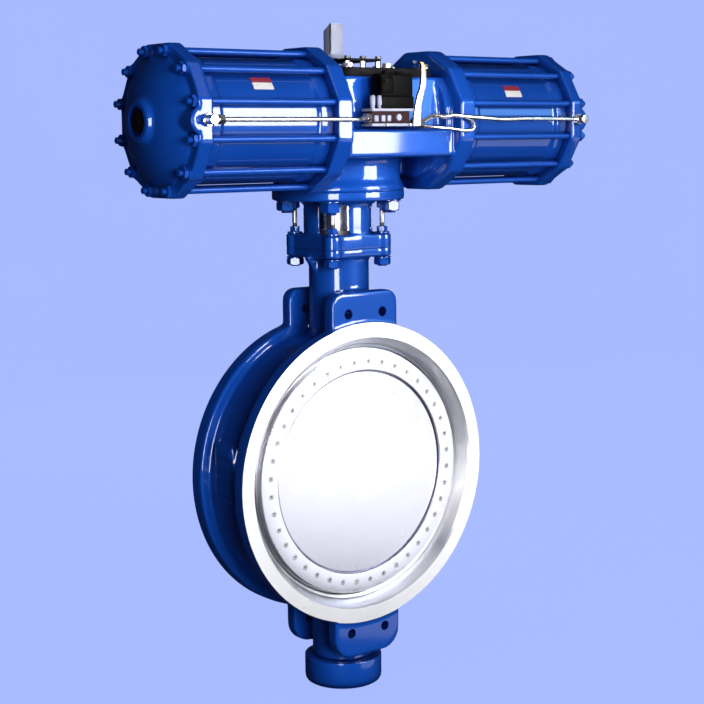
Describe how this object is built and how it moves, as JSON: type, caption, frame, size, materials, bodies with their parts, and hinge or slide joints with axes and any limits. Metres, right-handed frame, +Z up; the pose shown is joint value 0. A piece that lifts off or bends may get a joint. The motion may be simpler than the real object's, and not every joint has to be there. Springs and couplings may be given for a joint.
{
  "type": "pneumatic actuated valve",
  "caption": "Wafer butterfly valve for a large pipe, turned a quarter by a double-acting air cylinder actuator on top through a scotch yoke.",
  "frame": {"origin": "centre of the valve's bore, on the stem's axis, half way between the two raised faces", "axes": "+Z up along the stem towards the actuator, +Y along the pipe, with the disc's clamp ring facing -Y, +X along the actuator's cylinders"},
  "size_m": [0.808, 0.302, 1.062],
  "materials": {
    "enamel_blue": "glossy blue enamel over cast iron and steel",
    "machined_steel": "bright machined stainless steel",
    "dark_steel": "plain steel",
    "bronze": "bearing bronze",
    "seal_rubber": "matt black seal",
    "black_paint": "black painted cast cover",
    "black_plastic": "moulded black plastic",
    "silver_metal": "plain pale metal",
    "piston_alloy": "turned alloy"
  },
  "bodies": {
    "frame": {"valve_body": "enamel_blue", "bottom_cover": "enamel_blue", "mounting_stand": "enamel_blue", "centre_housing": "enamel_blue", "left_barrel": "enamel_blue", "right_barrel": "enamel_blue", "left_end_cap": "enamel_blue", "right_end_cap": "enamel_blue", "left_tie_rod_01": "enamel_blue", "left_tie_rod_02": "enamel_blue", "left_tie_rod_03": "enamel_blue", "left_tie_rod_04": "enamel_blue", "left_tie_rod_05": "enamel_blue", "left_tie_rod_06": "enamel_blue", "left_tie_rod_07": "enamel_blue", "left_tie_rod_08": "enamel_blue", "left_tie_rod_09": "enamel_blue", "left_tie_rod_10": "enamel_blue", "left_tie_rod_11": "enamel_blue", "left_tie_rod_12": "enamel_blue", "right_tie_rod_01": "enamel_blue", "right_tie_rod_02": "enamel_blue", "right_tie_rod_03": "enamel_blue", "right_tie_rod_04": "enamel_blue", "right_tie_rod_05": "enamel_blue", "right_tie_rod_06": "enamel_blue", "right_tie_rod_07": "enamel_blue", "right_tie_rod_08": "enamel_blue", "right_tie_rod_09": "enamel_blue", "right_tie_rod_10": "enamel_blue", "right_tie_rod_11": "enamel_blue", "right_tie_rod_12": "enamel_blue", "stand_bolt_1": "dark_steel", "stand_bolt_2": "dark_steel", "stand_bolt_3": "dark_steel", "stand_bolt_4": "dark_steel", "gland_follower": "dark_steel", "left_stop_screw": "dark_steel", "right_stop_screw": "dark_steel", "upper_stem_bush": "bronze", "lower_stem_bush": "bronze", "thrust_washer": "bronze", "packing_rings": "seal_rubber", "housing_cover": "black_paint", "solenoid_coil": "black_plastic", "solenoid_valve": "silver_metal", "left_air_tube": "silver_metal", "right_air_tube": "silver_metal", "accessory_bracket": "silver_metal"},
    "rotor": {"stem": "machined_steel", "disc": "machined_steel", "disc_seal_ring": "seal_rubber", "disc_retaining_ring": "machined_steel", "disc_pin": "dark_steel", "scotch_yoke": "dark_steel", "position_pointer": "black_plastic"},
    "piston": {"piston_rod": "machined_steel", "yoke_pin": "dark_steel", "left_piston": "piston_alloy", "right_piston": "piston_alloy"}
  },
  "joints": [
    {"name": "stem_turn", "type": "hinge", "parent": "frame", "child": "rotor", "pos_m": [0, 0, 0], "axis": [0, 0, 1], "range_deg": [0, 90]},
    {"name": "piston_travel", "type": "slide", "parent": "frame", "child": "piston", "axis": [1, 0, 0], "range_m": [0, 0.14]}
  ],
  "couplings": [
    {"joint": "piston_travel", "follows": "stem_turn", "m_per_rad": 0.0891}
  ]
}
